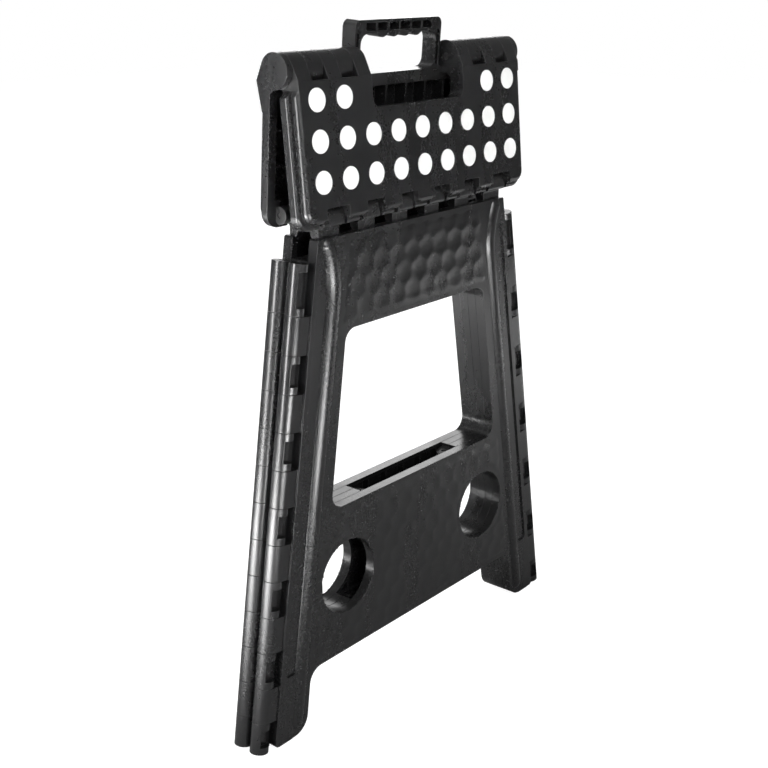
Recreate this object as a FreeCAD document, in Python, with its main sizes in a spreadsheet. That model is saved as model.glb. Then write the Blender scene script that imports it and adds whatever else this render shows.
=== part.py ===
import FreeCAD, Part
import math
import os

from FreeCAD import Placement, Rotation, Vector

# Folding step stool, folded flat.  X is the long direction, the front faces -Y, Z is up, and the
# origin is on the floor under the middle of the folded stack.  Two leg panels stand back to back
# with two pairs of side gussets between them, and the two halves of the step hang from the centre
# hinge above them.  Millimetres and degrees.

SIZES = {
    # layers of the folded stack, along Y
    "panel_thickness": 9, "gusset_thickness": 8.5, "layer_gap": 0.3, "skin": 2.5, "rib": 2,
    # slanted side edges: corner hinge line at floor level, and its slope
    "corner_axis_floor": 197.4, "slope": 0.16, "edge_gap": 10,
    "knuckle_radius": 7.8, "knuckle_gap": 0.4, "core_tab": 6, "core_side": 5,
    "hinge_top": 404, "first_knuckle": 40.3, "knuckle_pitch": 30.46, "knuckle_count": 13,
    "hinge_bottom": 1.5, "pin_radius": 2, "pin_play": 0.1,
    # leg panels
    "panel_top": 415, "gusset_top": 398, "rail_bottom": 54.8, "foot_bottom": 2,
    "foot_inner": 150, "foot_round": 16, "arch_corner": 142.3, "arch_round": 14,
    "window_top": 338.8, "window_bottom": 189.4, "window_top_half": 91.2,
    "window_bottom_half": 113.5, "window_round": 12,
    "hole_across": 94, "hole_height": 123.6, "hole_radius": 33, "ring_wall": 3,
    "bead_offset": 25, "bead_width": 13, "bead_height": 3, "bead_low": 15, "bead_high": 365,
    "bead_turn": 80, "bead_sweep": 32, "channel_near": 5, "channel_far": 18, "channel_depth": 1.5,
    "channel_low": 60, "channel_high": 392,
    # step: the centre hinge, the leg-top hinges and the two halves
    "axis_offset": 9, "fold_arm": 107, "centre_height": 540, "deck_offset": 17.5,
    "deck_half_length": 144, "deck_near": 8.55, "deck_rim": 117.5, "deck_depth": 14,
    "deck_corner": 12, "deck_edge": 4, "deck_step": 4.5, "step_height": 7.5, "step_edge": 2.5,
    "barrel_radius": 13.4, "barrel_clear": 14.1, "barrel_gap": 0.35, "web_reach": 17,
    "web_run": 14, "ear_inner": 138.2, "ear_slant": 5, "centre_pin_radius": 3, "pin_end": 5,
    "notch_half": 57.5, "notch_reach": 33, "notch_round": 7,
    "handle_half": 53.6, "handle_inner": 46.5, "handle_reach": 32, "bar_thickness": 10.5,
    "slot_reach": 102.15, "slot_step": 3, "slot_step_reach": 110.5, "lug_play": 1,
    "lug_front": 12, "lug_ring": 4.9, "lug_drop": 9.5, "lug_neck": 6,
    "top_pin_radius": 2.5, "cell_near": 18, "cell_far": 97,
    # grip dots
    "dot_radius": 8.75, "dot_pitch": 30, "dot_row": 22.5, "dot_proud": 0.5, "dot_seat": 1.5,
    "dot_play": 0.05,
    # middle hinges of the gussets
    "middle_gap": 7.5, "middle_radius": 7,
    # foot pads
    "pad_across": 173.5, "pad_length": 16, "pad_width": 5.6, "pad_height": 5, "pad_play": 0.1,
}

BARREL_EDGES = (57.5, 72.7, 90.5, 105.8, 122.8, 138.2, 144)      # |x|, front half's knuckle first
SLOTS = ((10.5, 31.3), (51.6, 73.0), (93.2, 118.7))              # |x| of the slots for the leg lugs
FINGER_PITCH = 14
MIDDLE_HINGES = {"lower": (75.5, 108.5), "middle": (169.0, 205.0), "upper": (364.0, 417.0)}

doc = FreeCAD.newDocument("StepStool")
sheet = doc.addObject("Spreadsheet::Sheet", "Sizes")
for number, (alias, value) in enumerate(SIZES.items(), start=1):
    sheet.set(f"A{number}", alias)
    sheet.set(f"B{number}", str(value))
    sheet.setAlias(f"B{number}", alias)
doc.recompute()


def size(alias):
    """Value of one cell of the sheet."""
    return float(getattr(sheet, alias))


TILT = math.degrees(math.atan(size("slope")))
SIN, COS = math.sin(math.radians(TILT)), math.cos(math.radians(TILT))
LEG_AXIS = math.hypot(size("fold_arm"), size("axis_offset"))     # centre hinge to leg-top hinge
TRAVEL = math.degrees(math.atan2(size("fold_arm"), size("axis_offset")))
TOP_AXIS = size("centre_height") - size("fold_arm")
TURN = Placement(Vector(), Rotation(Vector(0, 0, 1), 180))
LEFT_EDGE = Placement(Vector(-size("corner_axis_floor"), 0, 0), Rotation(Vector(0, 1, 0), TILT))
FRONT_DECK = Placement(Vector(0, 0, size("centre_height")), Rotation(Vector(1, 0, 0), TRAVEL))
REAR_DECK = Placement(Vector(0, 0, size("centre_height")), Rotation(Vector(1, 0, 0), -TRAVEL))


# ---------------------------------------------------------------- geometry helpers

def rounded_loop(corners):
    """Closed outline of straight runs; each corner is (x, y, radius of its rounding)."""
    points = [Vector(x, y, 0) for x, y, _ in corners]
    pieces = []
    for index, here in enumerate(points):
        back = (points[index - 1] - here).normalize()
        ahead = (points[(index + 1) % len(points)] - here).normalize()
        radius = corners[index][2]
        if not radius:
            pieces.append((here, None, here))
            continue
        half = back.getAngle(ahead) / 2
        reach = radius / math.tan(half)
        middle = here + (back + ahead).normalize() * (radius / math.sin(half) - radius)
        pieces.append((here + back * reach, middle, here + ahead * reach))
    edges = []
    for index, (start, middle, end) in enumerate(pieces):
        following = pieces[(index + 1) % len(pieces)][0]
        if middle:
            edges.append(Part.Arc(start, middle, end))
        if (following - end).Length > 1e-6:
            edges.append(Part.LineSegment(end, following))
    return edges


def box_loop(x_low, x_high, y_low, y_high, radius=0):
    """Rectangle, with rounded corners if a radius is given."""
    return rounded_loop([(x_low, y_low, radius), (x_high, y_low, radius),
                         (x_high, y_high, radius), (x_low, y_high, radius)])


def circle(x, y, radius):
    return [Part.Circle(Vector(x, y, 0), Vector(0, 0, 1), radius)]


def cells(low, high, left, right, rows, columns):
    """Grid of coring pockets between two heights and two side limits, ribs left between them."""
    half_rib = size("rib") / 2
    loops = []
    for row in range(rows):
        bottom = low + (high - low) * row / rows + half_rib
        top = low + (high - low) * (row + 1) / rows - half_rib
        for column in range(columns):
            ends = [(column, half_rib), (column + 1, -half_rib)]
            corners = []
            for y, order in ((bottom, ends), (top, ends[::-1])):
                for share, shift in order:
                    x = left(y) + (right(y) - left(y)) * share / columns + shift
                    corners.append((x, y, 1))
            loops.append(rounded_loop(corners))
    return loops


def mirrored(corners):
    """Outline given for x > 0 from bottom to top, closed with its mirror image."""
    return list(corners) + [(-x, y, radius) for x, y, radius in reversed(corners)]


# ---------------------------------------------------------------- document helpers

def new_body(name):
    return doc.addObject("PartDesign::Body", name)


def draw(body, name, role, height, loops):
    """Sketch on one of the body's own planes, raised by the expression in height."""
    plane = next(item for item in body.Origin.OriginFeatures if item.Role == role)
    sketch = body.newObject("Sketcher::SketchObject", name)
    sketch.AttachmentSupport = [(plane, "")]
    sketch.MapMode = "FlatFace"
    sketch.setExpression("AttachmentOffset.Base.z", height)
    for loop in loops:
        for edge in loop:
            sketch.addGeometry(edge, False)
    return sketch


def pad(body, sketch, length):
    feature = body.newObject("PartDesign::Pad", sketch.Name + "Pad")
    feature.Profile = sketch
    feature.setExpression("Length", length)
    doc.recompute([feature])
    return feature


def pocket(body, sketch, length, outward=False):
    """Cut away from the sketch's normal, or along it if outward is set."""
    before = body.Tip.Shape.Volume
    feature = body.newObject("PartDesign::Pocket", sketch.Name + "Pocket")
    feature.Profile = sketch
    feature.setExpression("Length", length)
    feature.Reversed = outward
    doc.recompute([feature])
    if not feature.Shape.Volume < before - 1e-3:
        raise RuntimeError(sketch.Name + " cuts nothing")
    return feature


def cylinder(name, radius, length, placement):
    """Cylinder along the local Z of its placement; radius and length are expressions."""
    item = doc.addObject("Part::Cylinder", name)
    item.setExpression("Radius", radius)
    item.setExpression("Height", length)
    item.Placement = placement
    return item


def block(name, lengths, placement):
    item = doc.addObject("Part::Box", name)
    for side, length in zip(("Length", "Width", "Height"), lengths):
        item.setExpression(side, length)
    item.Placement = placement
    return item


def fuse(name, items):
    item = doc.addObject("Part::MultiFuse", name)
    item.Shapes = items
    return item


def cut(name, base, tool):
    item = doc.addObject("Part::Cut", name)
    item.Base = base
    item.Tool = tool
    return item


def mirror(name, source):
    """Copy reflected from left to right."""
    item = doc.addObject("Part::Mirroring", name)
    item.Source = source
    item.Normal = Vector(1, 0, 0)
    return item


def node(item, label):
    """Give a finished sub-part the name of its file."""
    item.Label = label
    FINISHED.append(item)
    return item


FINISHED = []
ALONG_X = Rotation(Vector(0, 1, 0), 90)


def edge_x(height):
    """|x| of the flat part's slanted edge, clear of the corner barrels."""
    return size("corner_axis_floor") - size("slope") * height - size("edge_gap") / COS


def foot_corners():
    """Outline of one foot and of the arch beside it, on the right, from the edge inward."""
    bottom = size("foot_bottom")
    return [(edge_x(bottom), bottom, 3), (size("foot_inner"), bottom, size("foot_round")),
            (size("arch_corner"), size("rail_bottom"), size("arch_round"))]


def window_x(height):
    """Half-width of the window at a height."""
    span = size("window_top") - size("window_bottom")
    share = (height - size("window_bottom")) / span
    return size("window_bottom_half") + share * (size("window_top_half") - size("window_bottom_half"))


def slanted(x, height):
    """Point of the left side in the frame of the left corner hinge line."""
    across = x + size("corner_axis_floor")
    return across * COS - height * SIN, across * SIN + height * COS


def knuckle_spans(parity):
    """Lengths along the corner hinge line that one of its two leaves holds, from the top down."""
    top = size("hinge_top")
    for index in range(int(size("knuckle_count"))):
        bottom = top - (size("knuckle_pitch") if index else size("first_knuckle"))
        if index == int(size("knuckle_count")) - 1:
            bottom = size("hinge_bottom")
        if index % 2 == parity:
            yield bottom + size("knuckle_gap") / 2, top - size("knuckle_gap") / 2
        top = bottom


# ---------------------------------------------------------------- leg panels

def leg_panel(label, placement):
    """Ribbed leg panel with its window, hand holes, corner knuckles and the lugs of the top hinge."""
    body = new_body(label + "_plate")
    top = size("panel_top")
    outline = mirrored(foot_corners()[::-1] + [(edge_x(top), top, 2)])
    window = mirrored([(window_x(size("window_bottom")), size("window_bottom"), size("window_round")),
                       (window_x(size("window_top")), size("window_top"), size("window_round"))])
    holes = [circle(side * size("hole_across"), size("hole_height"), size("hole_radius"))
             for side in (-1, 1)]
    plate = draw(body, label + "_outline", "XZ_Plane", "Sizes.axis_offset",
                 [rounded_loop(outline), rounded_loop(window)] + holes)
    pad(body, plate, "Sizes.panel_thickness")

    axis, ring = -size("axis_offset"), size("lug_ring")
    front, foot = axis - size("lug_front"), TOP_AXIS - size("lug_drop")
    lug = rounded_loop([(front, foot, 2.5), (front, TOP_AXIS + ring, ring),
                        (axis + ring, TOP_AXIS + ring, ring), (axis + ring, foot + 1, 4),
                        (axis, top - 2, 2), (axis, top - 12, 0),
                        (axis - size("lug_neck"), top - 12, 0), (axis - size("lug_neck"), foot, 2)])
    for index, (near, far) in enumerate(SLOTS):
        for side, start in (("left", -far), ("right", near)):
            sketch = draw(body, f"{label}_lug_{side}_{index}", "YZ_Plane",
                          f"{start} + Sizes.lug_play", [lug])
            pad(body, sketch, f"{far - near} - 2 * Sizes.lug_play")

    wall = size("skin")
    rails = cells(size("window_top") + wall, top - wall, lambda z: wall - edge_x(z) + 3,
                  lambda z: edge_x(z) - wall - 3, 2, 9)
    rails += cells(size("rail_bottom") + wall, size("window_bottom") - wall,
                   lambda z: wall - edge_x(z), lambda z: edge_x(z) - wall, 4, 13)
    for side in (-1, 1):
        limits = sorted((lambda z, s=side: s * (window_x(z) + wall),
                         lambda z, s=side: s * (edge_x(z) - wall)), key=lambda limit: limit(200))
        rails += cells(size("window_bottom"), size("window_top"), limits[0], limits[1], 5, 1)
    coring = draw(body, label + "_cells", "XZ_Plane", "Sizes.axis_offset", rails)
    pocket(body, coring, "Sizes.panel_thickness - Sizes.skin", outward=True)
    rings = []
    for side in (-1, 1):
        place = (side * size("hole_across"), size("hole_height"))
        rings += [circle(*place, size("hole_radius") + size("ring_wall")),
                  circle(*place, size("hole_radius"))]
    pad(body, draw(body, label + "_rings", "XZ_Plane", "Sizes.axis_offset", rings),
        "Sizes.panel_thickness")

    channels = []
    for side in (-1, 1):
        low, high = size("channel_low"), size("channel_high")
        channels.append(rounded_loop([
            (side * (edge_x(low) - size("channel_near")), low, 4),
            (side * (edge_x(low) - size("channel_far")), low, 4),
            (side * (edge_x(high) - size("channel_far")), high, 4),
            (side * (edge_x(high) - size("channel_near")), high, 4)]))
    front = draw(body, label + "_channels", "XZ_Plane", "Sizes.axis_offset + Sizes.panel_thickness",
                 channels)
    pocket(body, front, "Sizes.channel_depth")

    edge = []
    for index, (bottom, high) in enumerate(knuckle_spans(1)):
        start = Vector(0, -size("axis_offset"), bottom)
        edge.append(cylinder(f"{label}_knuckle_{index}", "Sizes.knuckle_radius", f"{high - bottom}",
                             LEFT_EDGE * Placement(start, Rotation())))
        corner = Vector(0, -size("axis_offset") - size("knuckle_radius"), bottom)
        edge.append(block(f"{label}_web_{index}",
                          ("Sizes.edge_gap + 2", "Sizes.knuckle_radius", f"{high - bottom}"),
                          LEFT_EDGE * Placement(corner, Rotation())))
    left = fuse(label + "_left_knuckles", edge)
    bead = leg_bead(label)
    whole = fuse(label + "_whole", [body, left, mirror(label + "_right_knuckles", left),
                                    bead, mirror(label + "_right_bead", bead)])

    bores = [cylinder(label + "_left_bore", "Sizes.pin_radius + Sizes.pin_play", "Sizes.hinge_top + 40",
                      LEFT_EDGE * Placement(Vector(0, -size("axis_offset"), -20), Rotation()))]
    bores.append(mirror(label + "_right_bore", bores[0]))
    bores.append(cylinder(label + "_top_bore", "Sizes.top_pin_radius + Sizes.pin_play",
                          "2 * Sizes.deck_half_length",
                          Placement(Vector(-size("deck_half_length"), -size("axis_offset"), TOP_AXIS),
                                    ALONG_X)))
    play, below = size("pad_play"), 5
    for hand, side in (("left", -1), ("right", 1)):
        corner = pad_corner(side) - Vector(play, play, below)
        bores.append(block(f"{label}_pad_seat_{hand}",
                           ("Sizes.pad_length + 2 * Sizes.pad_play",
                            "Sizes.pad_width + 2 * Sizes.pad_play", f"Sizes.pad_height + {below}"),
                           Placement(corner, Rotation())))
    finished = cut(label, whole, fuse(label + "_bores", bores))
    finished.Placement = placement
    return node(finished, label)


def pad_corner(side):
    """Low corner of the box of a foot pad under the front leg panel, on the floor."""
    middle = size("axis_offset") + size("panel_thickness") / 2
    return Vector(side * size("pad_across") - size("pad_length") / 2,
                  -middle - size("pad_width") / 2, 0)


def leg_bead(label):
    """Raised rounded bead down the left leg, from a hooked top to the foot."""
    rise, width = size("bead_height"), size("bead_width")
    radius = (width * width / 4 + rise * rise) / (2 * rise)
    face = -size("axis_offset") - size("panel_thickness")
    depth = face - rise + radius
    low, high = size("bead_low"), size("bead_high")
    bottom = Vector(-edge_x(low) + size("bead_offset"), depth, low)
    bend = Vector(-edge_x(high) + size("bead_offset"), depth, high)
    along = (bend - bottom).normalize()
    turn = size("bead_turn")
    centre = bend + Vector(-along.z, 0, along.x) * turn
    sweep = math.radians(size("bead_sweep"))
    half_way = centre + Vector(along.z, 0, -along.x) * (turn * math.cos(sweep / 2)) \
        + along * (turn * math.sin(sweep / 2))
    end = centre + Vector(along.z, 0, -along.x) * (turn * math.cos(sweep)) \
        + along * (turn * math.sin(sweep))
    path = Part.Wire([Part.LineSegment(bottom, bend).toShape(),
                      Part.Arc(bend, half_way, end).toShape()])
    profile = Part.Wire(Part.Circle(bottom, along, radius).toShape())
    tube = path.makePipeShell([profile], True, True)
    tips = [Part.makeSphere(radius, bottom), Part.makeSphere(radius, end)]
    slab = Part.makeBox(400, rise + 2.5, 600, Vector(-400, face - rise - 1, 0))
    item = doc.addObject("Part::Feature", label + "_bead")
    item.Shape = tube.fuse(tips).common(slab).removeSplitter()
    return item


# ---------------------------------------------------------------- side gussets

def gusset(label, side, leaf, placement):
    """Side gusset: side is -1 in front and 1 behind, leaf 0 holds the outer middle knuckles."""
    body = new_body(label + "_plate")
    wall = size("skin")
    arm = size("fold_arm")
    inner = arm - size("middle_gap")

    def inner_x(height):
        """World x of the inner edge at a height, on the left."""
        return -size("corner_axis_floor") + size("slope") * height + inner / COS

    top, bottom = size("gusset_top"), size("window_bottom")
    foot = [(-x, z, radius) for x, z, radius in foot_corners()]
    corners = foot + [(inner_x(size("rail_bottom")), size("rail_bottom"), 0),
                      (inner_x(bottom), bottom, 0),
                      (-size("window_bottom_half"), bottom, size("window_round")),
                      (-size("window_top_half"), size("window_top"), size("window_round")),
                      (inner_x(size("window_top")), size("window_top"), 0),
                      (inner_x(top), top, 2), (-edge_x(top), top, 2)]
    loop = rounded_loop([(*slanted(x, z), radius) for x, z, radius in corners])
    outer_face = "Sizes.axis_offset - Sizes.layer_gap"
    inner_face = f"({outer_face} - Sizes.gusset_thickness)"
    start = inner_face if side < 0 else f"-({outer_face})"
    pad(body, draw(body, label + "_outline", "XZ_Plane", start, [loop]), "Sizes.gusset_thickness")

    def tilted(low, high, left, right, rows, columns):
        """Coring cells laid out in world heights, drawn in the slanted frame."""
        loops = []
        half_rib = size("rib") / 2
        for row in range(rows):
            z_low = low + (high - low) * row / rows + half_rib
            z_high = low + (high - low) * (row + 1) / rows - half_rib
            for column in range(columns):
                quad = []
                for z, order in ((z_low, (0, 1)), (z_high, (1, 0))):
                    for step in order:
                        share = (column + step) / columns
                        x = left(z) + (right(z) - left(z)) * share + half_rib * (1 - 2 * step)
                        quad.append((*slanted(x, z), 1))
                loops.append(rounded_loop(quad))
        return loops

    def edge(z):
        return wall - edge_x(z)

    coring = tilted(size("window_top") + wall, top - wall, edge, lambda z: inner_x(z) - wall, 2, 4)
    coring += tilted(size("rail_bottom") + wall, bottom - wall, edge,
                     lambda z: inner_x(z) - wall, 4, 4)
    coring += tilted(bottom, size("window_top"), edge, lambda z: -window_x(z) - wall, 5, 1)
    face = outer_face if side < 0 else f"-({outer_face})"
    cored = draw(body, label + "_cells", "XZ_Plane", face, coring)
    pocket(body, cored, "Sizes.gusset_thickness - Sizes.skin", outward=side > 0)
    hole = slanted(-size("hole_across"), size("hole_height"))
    ring = draw(body, label + "_ring", "XZ_Plane", start,
                [circle(*hole, size("hole_radius") + size("ring_wall"))])
    pad(body, ring, "Sizes.gusset_thickness")
    opening = draw(body, label + "_hole", "XZ_Plane", start, [circle(*hole, size("hole_radius"))])
    pocket(body, opening, "Sizes.gusset_thickness", outward=True)
    trim = draw(body, label + "_trim", "XZ_Plane", start,
                [box_loop(inner, inner + 40, 0, size("hinge_top") + 60)])
    pocket(body, trim, "Sizes.gusset_thickness", outward=True)

    axis = size("axis_offset") * side
    radius = size("knuckle_radius")
    pieces, cores = [], []
    for index, (low, high) in enumerate(knuckle_spans(0)):
        pieces.append(cylinder(f"{label}_knuckle_{index}", "Sizes.knuckle_radius", f"{high - low}",
                               Placement(Vector(0, axis, low), Rotation())))
        near = axis - radius if side > 0 else axis
        pieces.append(block(f"{label}_web_{index}",
                            ("Sizes.edge_gap + 2", "Sizes.knuckle_radius", f"{high - low}"),
                            Placement(Vector(0, near, low), Rotation())))
        deep = axis - radius - 1 if side < 0 else axis + size("pin_radius") + 0.6
        tab = size("core_tab")
        cores.append(block(f"{label}_core_{index}",
                           ("Sizes.core_side + Sizes.edge_gap",
                            "Sizes.knuckle_radius - Sizes.pin_radius + 0.4", f"{high - low - 2 * tab}"),
                           Placement(Vector(-size("core_side"), deep, low + tab), Rotation())))
    middle = size("middle_radius")
    for name, (low, high) in MIDDLE_HINGES.items():
        length = (high - low) / 3
        for share in ((0, 2) if leaf == 0 else (1,)):
            z = low + share * length + size("knuckle_gap") / 2
            span = f"{length} - Sizes.knuckle_gap"
            pieces.append(cylinder(f"{label}_{name}_{share}", "Sizes.middle_radius", span,
                                   Placement(Vector(arm, 0, z), Rotation())))
            near = -middle if side < 0 else 0
            pieces.append(block(f"{label}_{name}_web_{share}",
                                ("Sizes.middle_gap + 2", "Sizes.middle_radius", span),
                                Placement(Vector(inner - 2, near, z), Rotation())))
    whole = fuse(label + "_whole", [body] + pieces)
    bores = [cylinder(label + "_corner_bore", "Sizes.pin_radius + Sizes.pin_play",
                      "Sizes.hinge_top + 40", Placement(Vector(0, axis, -20), Rotation())),
             cylinder(label + "_middle_bore", "Sizes.pin_radius + Sizes.pin_play",
                      "Sizes.hinge_top + 60", Placement(Vector(arm, 0, -20), Rotation()))]
    finished = cut(label, whole, fuse(label + "_bores", bores + cores))
    finished.Placement = placement * LEFT_EDGE
    return node(finished, label)


# ---------------------------------------------------------------- halves of the step

def barrel_loop(side, outer):
    """Section of a centre knuckle: the round barrel and its web, which slopes down on the outer one."""
    near, offset, radius = size("deck_near"), size("deck_offset"), size("barrel_radius")
    low, foot = offset - size("deck_depth"), size("web_reach")
    reach = math.hypot(near, offset)
    turn = math.atan2(near, offset) - math.acos(radius / reach)
    tangent = (radius * math.sin(turn), radius * math.cos(turn))
    ends = [(near, offset), tangent, (-radius * math.cos(0.6), -radius * math.sin(0.6)), (radius, 0)]
    if outer:
        ends += [(foot, low), (foot + size("web_run"), low),
                 (foot + size("web_run"), low + size("step_height"))]
    else:
        ends += [(foot, low), (foot, offset)]
    points = [Vector(side * u, w, 0) for u, w in ends]
    runs = [Part.LineSegment(points[0], points[1]), Part.Arc(*points[1:4])]
    return runs + [Part.LineSegment(start, end)
                   for start, end in zip(points[3:], points[4:] + points[:1])]


def deck_half(label, side, own, dots, placement):
    """Half of the step, lying flat; side is -1 in front, own says which knuckles it holds."""
    body = new_body(label + "_deck")
    length, near, rim = size("deck_half_length"), size("deck_near"), size("deck_rim")
    low = "Sizes.deck_offset - Sizes.deck_depth"

    def flat(corners):
        """Outline whose second coordinate is the distance from the centre hinge."""
        return rounded_loop([(x, side * reach, radius) for x, reach, radius in corners])

    ear, side_gap = size("ear_inner"), 0.4
    clear = size("barrel_clear") + side_gap

    def tier(inset):
        """Outline of the deck, drawn in from its ends and rim by the inset."""
        end = length - inset
        if own == 0 and end > ear:
            inner = [(ear - side_gap, near, 0), (ear - side_gap, clear, 0),
                     (end, clear + size("ear_slant"), 0)]
        elif own == 0:
            inner = [(ear - side_gap, near, 0), (ear - side_gap, clear, 0), (end, clear + 2, 0)]
        else:
            inner = [(end, near, 0)]
        return flat(mirrored(inner + [(end, rim - inset, size("deck_corner") - inset / 2)]))

    def round_top(feature, height, radius, name):
        """Round the outer edges of the feature's top face."""
        edges = []
        for index, line in enumerate(feature.Shape.Edges, start=1):
            box = line.BoundBox
            on_top = abs(box.ZMin - height) < 0.01 and abs(box.ZMax - height) < 0.01
            outside = max(abs(box.XMin), abs(box.XMax)) > ear + 0.5 or \
                max(abs(box.YMin), abs(box.YMax)) > rim - size("deck_step") - 0.5
            far = max(abs(box.YMin), abs(box.YMax)) > clear + size("ear_slant") + 0.01
            if on_top and outside and far:
                edges.append(f"Edge{index}")
        rounding = body.newObject("PartDesign::Fillet", label + name)
        rounding.Base = (feature, edges)
        rounding.setExpression("Radius", radius)
        doc.recompute([rounding])

    lower = pad(body, draw(body, label + "_rim", "XY_Plane", low, [tier(0)]), "Sizes.step_height")
    round_top(lower, size("deck_offset") - size("deck_depth") + size("step_height"),
              "Sizes.step_edge", "_rim_edge")
    upper = pad(body, draw(body, label + "_top", "XY_Plane", low, [tier(size("deck_step"))]),
                "Sizes.deck_depth")
    round_top(upper, size("deck_offset"), "Sizes.deck_edge", "_top_edge")

    bands = sorted((side * size("cell_near"), side * size("cell_far")))
    wall = size("deck_step") + size("skin")
    hollow = cells(*bands, lambda y: wall - length, lambda y: length - wall, 3, 11)
    under = draw(body, label + "_cells", "XY_Plane", low, hollow)
    pocket(body, under, "Sizes.deck_depth - Sizes.skin", outward=True)
    if own == 0:
        wall = size("notch_half") + size("skin")
        rim_block = flat([(-wall, near, 0), (wall, near, 0),
                          (wall, size("notch_reach") + size("skin"), 4),
                          (-wall, size("notch_reach") + size("skin"), 4)])
        pad(body, draw(body, label + "_notch_wall", "XY_Plane", low, [rim_block]), "Sizes.deck_depth")
        gap = size("notch_half")
        notch = flat([(-gap, near - 5, 0), (gap, near - 5, 0),
                      (gap, size("notch_reach"), size("notch_round")),
                      (-gap, size("notch_reach"), size("notch_round"))])
        pocket(body, draw(body, label + "_notch", "XY_Plane", low, [notch]),
               "Sizes.deck_depth", outward=True)
    else:
        bar = size("handle_reach")
        bar_low = size("bar_thickness") - 2.2
        outer = flat([(-size("handle_half"), near + 6, 0), (size("handle_half"), near + 6, 0),
                      (size("handle_half"), -bar, size("notch_round") - 1),
                      (-size("handle_half"), -bar, size("notch_round") - 1)])
        pad(body, draw(body, label + "_handle", "XY_Plane", low, [outer]), "Sizes.deck_depth - 0.8")
        grip = finger_opening(side)
        pocket(body, draw(body, label + "_grip", "XY_Plane", low, [grip]),
               "Sizes.deck_depth", outward=True)
        cores = []
        for index in range(-3, 3):
            start, end = index * FINGER_PITCH + 1, (index + 1) * FINGER_PITCH - 1
            cores.append(box_loop(max(start, 2.2 - size("handle_inner")),
                                  min(end, size("handle_inner") - 2.2),
                                  *sorted((side * (2.2 - bar), side * (bar_low - bar))), 1))
        middle = (size("handle_half") + size("handle_inner")) / 2
        for centre in (-middle, middle):
            cores.append(box_loop(centre - 1.6, centre + 1.6,
                                  *sorted((side * (10 - bar), side * (near - 2))), 1))
        pocket(body, draw(body, label + "_bar_cores", "XY_Plane", low, cores),
               "Sizes.deck_depth - 4", outward=True)

    slots = []
    for near_x, far_x in SLOTS:
        for low_x, high_x in ((near_x, far_x), (-far_x, -near_x)):
            step = size("slot_step")
            slots.append(flat([(low_x, size("slot_reach"), 1.5), (high_x, size("slot_reach"), 1.5),
                               (high_x, size("slot_step_reach"), 0),
                               (high_x + step, size("slot_step_reach"), 0),
                               (high_x + step, rim + 5, 0), (low_x - step, rim + 5, 0),
                               (low_x - step, size("slot_step_reach"), 0),
                               (low_x, size("slot_step_reach"), 0)]))
    pocket(body, draw(body, label + "_slots", "XY_Plane", low, slots), "Sizes.deck_depth", outward=True)
    touching = [place for place in dots if place[1] - size("dot_radius") < size("web_reach")]
    seats = [circle(x, side * y, size("dot_radius") + size("dot_play"))
             for x, y in dots if (x, y) not in touching]
    pocket(body, draw(body, label + "_seats", "XY_Plane", "Sizes.deck_offset", seats), "Sizes.dot_seat")

    clears, barrels = [], []
    for index, (start, end) in enumerate(zip(BARREL_EDGES, BARREL_EDGES[1:])):
        mine = index % 2 == own
        gap = size("barrel_gap")
        for name, first in (("right", start), ("left", -end)):
            if mine:
                shape = new_body(f"{label}_barrel_{name}_{index}")
                outer = end == BARREL_EDGES[-1]
                sketch = draw(shape, f"{label}_section_{name}_{index}", "YZ_Plane",
                              f"{first} + Sizes.barrel_gap", [barrel_loop(side, outer)])
                cap = gap if outer else 2 * gap
                if outer and name == "left":
                    sketch.setExpression("AttachmentOffset.Base.z", f"{first}")
                pad(shape, sketch, f"{end - start - cap}")
                barrels.append(shape)
            else:
                far_end = 40 if index == len(BARREL_EDGES) - 2 else 0
                begin = first if name == "right" else first - far_end
                clears.append(cylinder(f"{label}_clear_{name}_{index}", "Sizes.barrel_clear",
                                       f"{end - start + far_end}",
                                       Placement(Vector(begin, 0, 0), ALONG_X)))
    cleared = cut(label + "_cleared", body, fuse(label + "_clears", clears))

    leaves = []
    sides = sorted(x for near_x, far_x in SLOTS for x in (near_x, far_x, -near_x, -far_x))
    ends = [4 - size("ear_inner")] + sides + [size("ear_inner") - 4]
    for index in range(0, len(ends), 2):
        first, last = ends[index] + 0.6, ends[index + 1] - 0.6
        if index == 0:
            first = ends[index]
        if index == len(ends) - 2:
            last = ends[index + 1]
        axis = Vector(first, side * LEG_AXIS, 0)
        leaves.append(cylinder(f"{label}_leaf_{index}", "Sizes.knuckle_radius - 1", f"{last - first}",
                               Placement(axis, ALONG_X)))
        leaves.append(block(f"{label}_leaf_web_{index}",
                            (f"{last - first}", "2 * Sizes.knuckle_radius - 4", "Sizes.deck_offset - 4"),
                            Placement(axis - Vector(0, size("knuckle_radius") - 2, 0), Rotation())))
    whole = fuse(label + "_whole", [cleared] + barrels + leaves)
    bores = [cylinder(label + "_centre_bore", "Sizes.centre_pin_radius + Sizes.pin_play",
                      "2 * Sizes.deck_half_length - 8",
                      Placement(Vector(4 - length, 0, 0), ALONG_X)),
             cylinder(label + "_leg_bore", "Sizes.top_pin_radius + Sizes.pin_play",
                      "2 * Sizes.deck_half_length - 8",
                      Placement(Vector(4 - length, side * LEG_AXIS, 0), ALONG_X))]
    floor = size("deck_offset") - size("dot_seat")
    for index, (x, reach) in enumerate(touching):
        bores.append(cylinder(f"{label}_seat_{index}", "Sizes.dot_radius + Sizes.dot_play",
                              "Sizes.dot_seat + 1", Placement(Vector(x, side * reach, floor), Rotation())))
    finished = cut(label, whole, fuse(label + "_bores", bores))
    finished.Placement = placement
    return node(finished, label)


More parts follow.
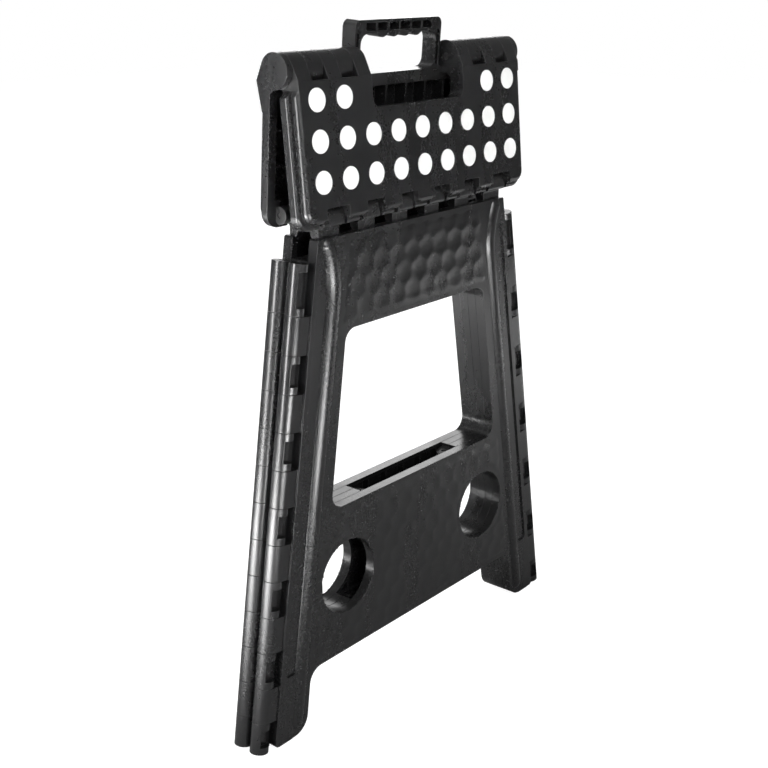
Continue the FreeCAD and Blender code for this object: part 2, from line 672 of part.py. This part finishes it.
def finger_opening(side):
    """Hand opening of the handle; the bar's lower edge is scalloped for four fingers."""
    half = size("handle_inner")
    bar = size("handle_reach") - size("bar_thickness")
    bottom = size("deck_near") + 0.6
    corner, scallop, pitch = 8, 3.2, FINGER_PITCH
    edges = []
    points = [Vector(-half, -side * (bar - corner), 0), Vector(-half + corner, -side * bar, 0)]
    bend = corner * (1 - math.sqrt(0.5))
    turn = Vector(bend - half, side * (bend - bar), 0)
    edges.append(Part.Arc(points[0], turn, points[1]))
    start = -2 * pitch
    edges.append(Part.LineSegment(points[1], Vector(start, -side * bar, 0)))
    for index in range(4):
        left = Vector(start + index * pitch, -side * bar, 0)
        right = Vector(start + (index + 1) * pitch, -side * bar, 0)
        top = Vector(start + (index + 0.5) * pitch, -side * (bar - scallop), 0)
        edges.append(Part.Arc(left, top, right))
    edges.append(Part.LineSegment(Vector(-start, -side * bar, 0), Vector(half - corner, -side * bar, 0)))
    edges.append(Part.Arc(Vector(half - corner, -side * bar, 0), Vector(-turn.x, turn.y, 0),
                          Vector(half, points[0].y, 0)))
    low = [Vector(x, side * y, 0) for x, y in
           ((half, bottom - corner), (half - corner, bottom), (corner - half, bottom),
            (-half, bottom - corner))]
    edges.append(Part.LineSegment(Vector(half, points[0].y, 0), low[0]))
    edges.append(Part.Arc(low[0], Vector(half - bend, side * (bottom - bend), 0), low[1]))
    edges.append(Part.LineSegment(low[1], low[2]))
    edges.append(Part.Arc(low[2], Vector(bend - half, side * (bottom - bend), 0), low[3]))
    edges.append(Part.LineSegment(low[3], points[0]))
    return edges


def dot_places(columns_near):
    """Places of the grip dots: three rows of nine, the near row holding only some columns."""
    pitch = size("dot_pitch")
    places = []
    for row in range(3):
        for column in range(9):
            if row or column in columns_near:
                places.append(((column - 4) * pitch, size("dot_row") + row * pitch))
    return places


def grip_dots(label, side, places, placement):
    """Rubber grip dots pressed into their seats in the deck."""
    dots = []
    base = size("deck_offset") - size("dot_seat")
    for index, (x, reach) in enumerate(places):
        dots.append(cylinder(f"{label}_{index}", "Sizes.dot_radius", "Sizes.dot_seat + Sizes.dot_proud",
                             Placement(Vector(x, side * reach, base), Rotation())))
    group = doc.addObject("Part::Compound", label)
    group.Links = dots
    group.Placement = placement
    return node(group, label)


# ---------------------------------------------------------------- pins and foot pads

def pin(label, radius, length, placement):
    return node(cylinder(label, radius, length, placement), label)


def build():
    leg_panel("front_leg_panel", Placement())
    leg_panel("rear_leg_panel", TURN)
    gusset("left_front_gusset", -1, 0, Placement())
    gusset("left_rear_gusset", 1, 1, Placement())
    gusset("right_rear_gusset", -1, 0, TURN)
    gusset("right_front_gusset", 1, 1, TURN)
    front_dots, rear_dots = dot_places((0, 1, 7, 8)), dot_places(range(9))
    deck_half("front_top_panel", -1, 0, front_dots, FRONT_DECK)
    deck_half("rear_top_panel", 1, 1, rear_dots, REAR_DECK)
    grip_dots("front_grip_dots", -1, front_dots, FRONT_DECK)
    grip_dots("rear_grip_dots", 1, rear_dots, REAR_DECK)

    first = size("hinge_bottom") + 1
    for name, turn, y in (("left_front", Placement(), -1), ("left_rear", Placement(), 1),
                          ("right_rear", TURN, -1), ("right_front", TURN, 1)):
        base = Vector(0, y * size("axis_offset"), first)
        pin(name + "_corner_pin", "Sizes.pin_radius", "Sizes.hinge_top - Sizes.hinge_bottom - 2",
            turn * LEFT_EDGE * Placement(base, Rotation()))
    for name, (low, high) in MIDDLE_HINGES.items():
        for hand, turn in (("left", Placement()), ("right", TURN)):
            base = Vector(size("fold_arm"), 0, low + 1)
            pin(f"{hand}_{name}_gusset_pin", "Sizes.pin_radius", f"{high - low - 2}",
                turn * LEFT_EDGE * Placement(base, Rotation()))
    reach = BARREL_EDGES[0] + 1
    outer = size("deck_half_length") - size("pin_end")
    for hand, start in (("left", -outer), ("right", reach)):
        pin(hand + "_centre_pin", "Sizes.centre_pin_radius", f"{outer - reach}",
            Placement(Vector(start, 0, size("centre_height")), ALONG_X))
    half_pin = size("ear_inner") - size("pin_end")
    for name, y in (("front", -1), ("rear", 1)):
        pin(name + "_top_pin", "Sizes.top_pin_radius", f"{2 * half_pin}",
            Placement(Vector(-half_pin, y * size("axis_offset"), TOP_AXIS), ALONG_X))
    for side in (-1, 1):
        corner = Placement(pad_corner(side), Rotation())
        hands = ("left", "right") if side < 0 else ("right", "left")
        for name, turn in ((hands[0] + "_front", Placement()), (hands[1] + "_rear", TURN)):
            node(block(name + "_foot_pad", ("Sizes.pad_length", "Sizes.pad_width", "Sizes.pad_height"),
                       turn * corner), name + "_foot_pad")


def check_and_write():
    doc.recompute()
    for item in doc.Objects:
        if any(word in item.State for word in ("Invalid", "Error")):
            raise RuntimeError(f"{item.Name} failed: {item.State}")
    os.makedirs("parts", exist_ok=True)
    for item in FINISHED:
        shape = item.Shape
        if shape.isNull() or not shape.isValid():
            raise RuntimeError(item.Label + " has no valid shape")
        print(f"{item.Label}: {len(shape.Solids)} solids, {shape.Volume / 1000:.1f} cm3")
        shape.exportStep(f"parts/{item.Label}.step")


build()
check_and_write()
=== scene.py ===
import math

import bmesh
import bpy
from mathutils import Matrix, Vector


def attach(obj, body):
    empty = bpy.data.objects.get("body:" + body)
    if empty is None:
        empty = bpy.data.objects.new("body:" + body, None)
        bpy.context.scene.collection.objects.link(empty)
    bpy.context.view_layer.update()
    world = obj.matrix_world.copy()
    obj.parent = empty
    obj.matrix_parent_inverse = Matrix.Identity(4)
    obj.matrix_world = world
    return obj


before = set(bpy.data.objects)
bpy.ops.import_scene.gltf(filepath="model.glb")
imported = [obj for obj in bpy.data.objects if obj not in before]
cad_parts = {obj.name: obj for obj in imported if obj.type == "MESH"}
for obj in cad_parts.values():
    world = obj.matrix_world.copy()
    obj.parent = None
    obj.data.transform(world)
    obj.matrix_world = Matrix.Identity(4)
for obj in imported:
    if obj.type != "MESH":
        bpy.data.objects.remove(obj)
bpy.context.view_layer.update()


# ---------------------------------------------------------------- camera

CAMERA_PLACE = Vector((-0.7822, -0.6478, 0.6058))
CAMERA_HEADING = 49.603       # degrees from +Y towards +X
CAMERA_DIP = 18.32            # degrees below the horizon
CAMERA_ROLL = -0.437
FOCAL_LENGTH = 57.51          # on a 36 mm sensor
SHIFT = (-0.0039, -0.0051)


def add_camera():
    data = bpy.data.cameras.new("camera")
    camera = bpy.data.objects.new("camera", data)
    bpy.context.scene.collection.objects.link(camera)
    heading = math.radians(CAMERA_HEADING)
    dip = math.radians(CAMERA_DIP)
    forward = Vector((math.sin(heading) * math.cos(dip), math.cos(heading) * math.cos(dip),
                      -math.sin(dip)))
    right = Vector((math.cos(heading), -math.sin(heading), 0))
    up = right.cross(forward)
    roll = math.radians(CAMERA_ROLL)
    side = math.cos(roll) * right + math.sin(roll) * up
    top = math.cos(roll) * up - math.sin(roll) * right
    turn = Matrix((side, top, -forward)).transposed().to_4x4()
    camera.matrix_world = Matrix.Translation(CAMERA_PLACE) @ turn
    data.lens = FOCAL_LENGTH
    data.sensor_width = 36
    data.shift_x, data.shift_y = SHIFT
    data.clip_start, data.clip_end = 0.05, 20
    bpy.context.scene.camera = camera


add_camera()


# ---------------------------------------------------------------- materials

# sockets of a Mix node, which share their names: first input, second input and result
VECTOR_SOCKETS = (4, 5, 1)
COLOUR_SOCKETS = (6, 7, 2)


class Nodes:
    """Small helper that adds and links shader nodes of one material."""

    def __init__(self, name):
        self.material = bpy.data.materials.new(name)
        self.material.use_nodes = True
        self.tree = self.material.node_tree
        self.shader = self.tree.nodes["Principled BSDF"]
        self.place = self.add("ShaderNodeTexCoord").outputs["Object"]

    def add(self, kind, **settings):
        node = self.tree.nodes.new(kind)
        for key, value in settings.items():
            setattr(node, key, value)
        return node

    def link(self, source, target):
        self.tree.links.new(source, target)

    def noise(self, scale, detail=2.0, roughness=0.5, stretch=None):
        """Noise texture laid out in the object's own metres; returns its 0 to 1 value."""
        place = self.place
        if stretch:
            mapping = self.add("ShaderNodeMapping")
            self.link(place, mapping.inputs["Vector"])
            mapping.inputs["Scale"].default_value = stretch
            place = mapping.outputs["Vector"]
        node = self.add("ShaderNodeTexNoise")
        self.link(place, node.inputs["Vector"])
        node.inputs["Scale"].default_value = scale
        node.inputs["Detail"].default_value = detail
        node.inputs["Roughness"].default_value = roughness
        return node.outputs["Fac"]

    def cells(self, scale, feature="F1", randomness=1.0):
        """Cell texture: distance to the nearest cell centre."""
        node = self.add("ShaderNodeTexVoronoi", feature=feature)
        self.link(self.place, node.inputs["Vector"])
        node.inputs["Scale"].default_value = scale
        node.inputs["Randomness"].default_value = randomness
        return node.outputs["Distance"]

    def span(self, value, low, high, from_low=0.0, from_high=1.0):
        """Value mapped from one range to another."""
        node = self.add("ShaderNodeMapRange")
        self.link(value, node.inputs["Value"])
        for socket, number in (("From Min", from_low), ("From Max", from_high),
                               ("To Min", low), ("To Max", high)):
            node.inputs[socket].default_value = number
        return node.outputs["Result"]

    def sum(self, first, second, operation="ADD"):
        node = self.add("ShaderNodeMath", operation=operation)
        self.link(first, node.inputs[0])
        self.link(second, node.inputs[1])
        return node.outputs["Value"]

    def blend(self, share, dark, light):
        """Colour between two others by a 0 to 1 value; each may be a colour or an output."""
        first, second, result = COLOUR_SOCKETS
        node = self.add("ShaderNodeMix", data_type="RGBA")
        self.link(share, node.inputs["Factor"])
        for socket, colour in ((node.inputs[first], dark), (node.inputs[second], light)):
            if isinstance(colour, tuple):
                socket.default_value = (*colour, 1)
            else:
                self.link(colour, socket)
        return node.outputs[result]

    def edges(self, radius):
        """Mask of the outer and inner edges, and a normal that is rounded only over them."""
        first, second, result = VECTOR_SOCKETS
        bevel = self.add("ShaderNodeBevel", samples=8)
        bevel.inputs["Radius"].default_value = radius
        plain_normal = self.add("ShaderNodeNewGeometry").outputs["Normal"]
        dot = self.add("ShaderNodeVectorMath", operation="DOT_PRODUCT")
        self.link(bevel.outputs["Normal"], dot.inputs[0])
        self.link(plain_normal, dot.inputs[1])
        mask = self.span(dot.outputs["Value"], 1.0, 0.0, 0.70, 0.95)
        rounded = self.add("ShaderNodeMix", data_type="VECTOR")
        self.link(mask, rounded.inputs["Factor"])
        self.link(plain_normal, rounded.inputs[first])
        self.link(bevel.outputs["Normal"], rounded.inputs[second])
        return mask, rounded.outputs[result]

    def bumps(self, layers, normal=None):
        """Chain of bump nodes, each (height, depth in metres, strength)."""
        for height, depth, strength in layers:
            node = self.add("ShaderNodeBump")
            self.link(height, node.inputs["Height"])
            node.inputs["Distance"].default_value = depth
            node.inputs["Strength"].default_value = strength
            if normal is not None:
                self.link(normal, node.inputs["Normal"])
            normal = node.outputs["Normal"]
        self.link(normal, self.shader.inputs["Normal"])

    def colour(self, output):
        self.link(output, self.shader.inputs["Base Color"])

    def roughness(self, output):
        self.link(output, self.shader.inputs["Roughness"])


def moulded_plastic(name, dark, light, wear_and_highlight_colour, rough, grain):
    """Black moulded polypropylene: fine grain, cloudy sheen, flow marks and edges lightened in
    specks, partly wear and partly painted highlight.
    """
    nodes = Nodes(name)
    cloud = nodes.noise(9, 3, 0.55)
    flow = nodes.noise(26, 3, 0.6, (1.0, 1.0, 0.12))
    edge, rounded = nodes.edges(0.0010)
    fleck = nodes.noise(420, 1.0, 0.5)
    tone = nodes.blend(nodes.span(cloud, 0, 1, 0.3, 0.7), dark, light)
    # edges lightened in specks towards a paler colour: partly wear, partly a painted highlight
    # along the edges
    wear_and_highlight_mask = nodes.sum(edge, nodes.span(fleck, 0.5, 1.0, 0.35, 0.65), "MULTIPLY")
    nodes.colour(nodes.blend(wear_and_highlight_mask, tone, wear_and_highlight_colour))
    sheen = nodes.span(flow, rough - 0.06, rough + 0.07, 0.3, 0.7)
    nodes.roughness(nodes.sum(sheen, nodes.span(fleck, -0.03, 0.05)))
    nodes.shader.inputs["Specular IOR Level"].default_value = 0.5
    nodes.bumps([(nodes.noise(1300, 2, 0.6), 0.00003, grain),
                 (nodes.cells(1100), 0.00002, grain * 0.5),
                 (nodes.noise(38, 1, 0.4), 0.0002, 0.06)], rounded)
    return nodes.material


def grip_rubber(name):
    """White thermoplastic rubber of the dots: matte, pebbled, a little soiled."""
    nodes = Nodes(name)
    soil = nodes.noise(70, 4, 0.6)
    edge, rounded = nodes.edges(0.0006)
    pebble = nodes.cells(900)
    tone = nodes.blend(nodes.span(soil, 0, 1, 0.38, 0.75),
                       (0.93, 0.93, 0.92), (0.84, 0.84, 0.83))
    nodes.colour(nodes.blend(nodes.span(edge, 0, 0.5), tone, (0.66, 0.66, 0.65)))
    nodes.roughness(nodes.span(soil, 0.62, 0.8))
    nodes.shader.inputs["Specular IOR Level"].default_value = 0.3
    nodes.bumps([(pebble, 0.00012, 0.5), (nodes.noise(1600, 2, 0.6), 0.00004, 0.4)], rounded)
    return nodes.material


def drawn_steel(name):
    """Blackened wire of the hinge pins: fine marks along it and a thin film of grease."""
    nodes = Nodes(name)
    nodes.shader.inputs["Metallic"].default_value = 1.0
    marks = nodes.noise(2600, 2, 0.6, (0.04, 1.0, 0.04))
    film = nodes.noise(140, 3, 0.6)
    nodes.colour(nodes.blend(nodes.span(film, 0, 1, 0.35, 0.7),
                             (0.10, 0.10, 0.105), (0.06, 0.057, 0.052)))
    nodes.roughness(nodes.sum(nodes.span(marks, 0.22, 0.4), nodes.span(film, 0.0, 0.12)))
    nodes.bumps([(marks, 0.00003, 0.4)])
    return nodes.material


def foot_rubber(name):
    """Black rubber of the foot pads: matte, scuffed towards the floor."""
    nodes = Nodes(name)
    scuff = nodes.noise(260, 4, 0.65, (1.0, 1.0, 0.4))
    edge, rounded = nodes.edges(0.0005)
    tone = nodes.blend(nodes.span(scuff, 0, 1, 0.4, 0.75),
                       (0.012, 0.012, 0.012), (0.05, 0.048, 0.045))
    nodes.colour(nodes.blend(nodes.span(edge, 0, 0.6), tone, (0.07, 0.068, 0.065)))
    nodes.roughness(nodes.span(scuff, 0.6, 0.85))
    nodes.bumps([(nodes.cells(1100), 0.0001, 0.5), (scuff, 0.00008, 0.4)], rounded)
    return nodes.material


BLACK_DARK, BLACK_LIGHT = (0.0065, 0.0065, 0.0068), (0.0095, 0.0095, 0.0098)
# the third colour is that of the lightened edges: wear and painted highlight
PANEL = moulded_plastic("panel_plastic", BLACK_DARK, BLACK_LIGHT, (0.035, 0.035, 0.036),
                        0.25, 0.05)
DECK = moulded_plastic("deck_plastic", BLACK_DARK, BLACK_LIGHT, (0.033, 0.033, 0.034),
                       0.28, 0.09)
DOTS = grip_rubber("grip_rubber")
STEEL = drawn_steel("drawn_steel")
RUBBER = foot_rubber("foot_rubber")


def material_for(node):
    if node.endswith("_dots"):
        return DOTS
    if node.endswith("_foot_pad"):
        return RUBBER
    if node.endswith("_pin"):
        return STEEL
    return DECK if node.endswith("_top_panel") else PANEL


for name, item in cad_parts.items():
    item.data.materials.clear()
    item.data.materials.append(material_for(name))


# ---------------------------------------------------------------- hammered faces of the leg rails

FACE = 0.018                  # outer face of a leg panel, from the middle of the stack
CORNER_LINE, SLOPE = 0.1974, 0.16     # corner hinge at the floor, and how fast it leans in
STILE_WIDTH = 0.0441          # from the corner hinge to the inner side of the bead
UPPER_RAIL = (0.3400, 0.4135)
LOWER_RAIL = (0.0560, 0.1882)
HOLE_X, HOLE_HEIGHT = 0.094, 0.1236
HOLE_RADIUS = 0.0335          # round hole with its plain rim
DISH_PITCH = 0.0195
DISH_DEPTH = 0.00060
DISH_REACH = 0.54             # radius of a dish, as a share of the pitch
DISH_JITTER = 0.0011
SKIN_BASE = 0.00012           # least height of the skin above the panel
SKIN_TUCK = 0.00022           # how far its rim runs into the panel
SKIN_BACK = 0.0008            # depth of its back face inside the panel
FADE = 0.009                  # width of the blend at the rim
GRID = 0.0018


def stile_x(height):
    """|x| of the inner side of the bead on the stile."""
    return CORNER_LINE - SLOPE * height - STILE_WIDTH


def rail_inset(x, height, low, high, holes):
    """Distance inside the dimpled area of a rail; negative outside it."""
    inset = min(height - low, high - height, stile_x(height) - abs(x))
    for hole_x, hole_height, radius in holes:
        inset = min(inset, math.hypot(x - hole_x, height - hole_height) - radius)
    return inset


def dish(x, height):
    """0 in the middle of a dish and 1 on the ridges; the dishes stand in staggered rows."""
    row_step = DISH_PITCH * math.sqrt(3) / 2
    row = round(height / row_step)
    best = 1.0
    for near in (row - 1, row, row + 1):
        shift = DISH_PITCH / 2 if near % 2 else 0.0
        column = round((x - shift) / DISH_PITCH)
        for side in (column - 1, column, column + 1):
            jitter_x = DISH_JITTER * math.sin(7.1 * side + 3.7 * near)
            jitter_z = DISH_JITTER * math.cos(5.3 * side - 4.9 * near)
            centre_x = side * DISH_PITCH + shift + jitter_x
            centre_z = near * row_step + jitter_z
            distance = math.hypot(x - centre_x, height - centre_z) / (DISH_PITCH * DISH_REACH)
            best = min(best, distance * distance)
    return best


def hammered_skin(name, body, sign, rail, holes):
    """Thin moulded face with shallow round dishes, closed at the back inside the panel."""
    low, high = rail
    mesh = bpy.data.meshes.new(name)
    built = bmesh.new()
    half = stile_x(low) + GRID
    columns = int(half / GRID) + 1
    rows = int((high - low) / GRID) + 2
    front, back = {}, {}
    for row in range(rows):
        height = low + row * GRID
        for column in range(-columns, columns + 1):
            x = column * GRID
            inset = rail_inset(x, height, low, high, holes)
            share = min(max(inset / FADE, 0.0), 1.0)
            share = share * share * (3 - 2 * share)
            rise = share * (SKIN_BASE + SKIN_TUCK + DISH_DEPTH * dish(x, height)) - SKIN_TUCK
            if inset > -GRID:
                front[row, column] = built.verts.new((-sign * x, sign * (FACE + rise), height))
                back[row, column] = built.verts.new((-sign * x, sign * (FACE - SKIN_BACK), height))
    sides = {}
    for row, column in front:
        ring = [(row, column), (row, column + 1), (row + 1, column + 1), (row + 1, column)]
        if all(place in front for place in ring):
            built.faces.new([front[place] for place in ring])
            built.faces.new([back[place] for place in reversed(ring)])
            for start, end in zip(ring, ring[1:] + ring[:1]):
                if (end, start) in sides:
                    del sides[end, start]
                else:
                    sides[start, end] = True
    for start, end in sides:
        built.faces.new((front[end], front[start], back[start], back[end]))
    loose = [point for point in built.verts if not point.link_faces]
    bmesh.ops.delete(built, geom=loose, context="VERTS")
    bmesh.ops.recalc_face_normals(built, faces=built.faces)
    built.to_mesh(mesh)
    built.free()
    for face in mesh.polygons:
        face.use_smooth = True
    skin = bpy.data.objects.new(name, mesh)
    bpy.context.scene.collection.objects.link(skin)
    skin.data.materials.append(PANEL)
    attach(skin, body)


HOLES = [(side * HOLE_X, HOLE_HEIGHT, HOLE_RADIUS) for side in (-1, 1)]
for end, body, sign in (("front", "front_leg", -1), ("rear", "rear_leg", 1)):
    hammered_skin(end + "_upper_rail_face", body, sign, UPPER_RAIL, [])
    hammered_skin(end + "_lower_rail_face", body, sign, LOWER_RAIL, HOLES)


# ---------------------------------------------------------------- lights and floor

FLOOR_HALF = 6                # half width of the floor
FLOOR_GREY = (0.3, 0.3, 0.3, 1)
WHITE = (1, 1, 1, 1)


def area_light(name, place, target, width, height, power, spread=180):
    """Rectangular light of one width, height, power and spread in degrees."""
    data = bpy.data.lights.new(name, "AREA")
    data.shape = "RECTANGLE"
    data.energy, data.size, data.size_y = power, width, height
    data.spread = math.radians(spread)
    light = bpy.data.objects.new(name, data)
    bpy.context.scene.collection.objects.link(light)
    light.location = place
    light.visible_camera = False
    light.rotation_euler = (Vector(target) - Vector(place)).to_track_quat("-Z", "Y").to_euler()


def lit_for_camera(tree, target, unseen, seen):
    """Give a strength one value for the camera and another for light on the object."""
    path = tree.nodes.new("ShaderNodeLightPath")
    strength = tree.nodes.new("ShaderNodeMapRange")
    tree.links.new(path.outputs["Is Camera Ray"], strength.inputs["Value"])
    strength.inputs["To Min"].default_value = unseen
    strength.inputs["To Max"].default_value = seen
    tree.links.new(strength.outputs["Result"], target)


def add_floor():
    """White floor to the camera, and grey to the light."""
    mesh = bpy.data.meshes.new("floor")
    corners = [(x * FLOOR_HALF, y * FLOOR_HALF, 0) for x, y in ((-1, -1), (1, -1), (1, 1), (-1, 1))]
    mesh.from_pydata(corners, [], [(0, 1, 2, 3)])
    floor = bpy.data.objects.new("floor", mesh)
    bpy.context.scene.collection.objects.link(floor)
    material = bpy.data.materials.new("floor")
    material.use_nodes = True
    shader = material.node_tree.nodes["Principled BSDF"]
    shader.inputs["Base Color"].default_value = FLOOR_GREY
    shader.inputs["Roughness"].default_value = 0.9
    shader.inputs["Specular IOR Level"].default_value = 0.0
    shader.inputs["Emission Color"].default_value = WHITE
    lit_for_camera(material.node_tree, shader.inputs["Emission Strength"], 0.0, 0.94)
    floor.data.materials.append(material)


def add_studio():
    """Side key, three washes on the floor that the panels mirror, and top, fill and back lights."""
    middle = (0, 0, 0.28)
    area_light("key", (-1.9, 0.2, 0.9), middle, 0.5, 1.7, 60)
    area_light("sweep_left", (-1.3, 0.2, 0.7), (-1.25, 0.2, 0), 0.8, 1.0, 300, 70)
    area_light("sweep_front", (-0.55, -1.4, 0.7), (-0.5, -1.3, 0), 0.8, 0.6, 210, 70)
    area_light("sweep_right", (1.25, -0.45, 0.8), (1.2, -0.45, 0), 0.5, 0.9, 13, 80)
    area_light("top", (-0.3, 0.3, 2.2), middle, 1.0, 1.0, 20)
    area_light("fill", (-1.0, -2.1, 1.5), middle, 1.2, 1.2, 39)
    area_light("back", (1.9, 1.6, 1.15), middle, 1.0, 0.9, 10)
    world = bpy.data.worlds.new("studio")
    world.use_nodes = True
    background = world.node_tree.nodes["Background"]
    background.inputs["Color"].default_value = WHITE
    lit_for_camera(world.node_tree, background.inputs["Strength"], 0.2, 1.0)
    bpy.context.scene.world = world
    bpy.context.scene.view_settings.view_transform = "Standard"


add_floor()
add_studio()
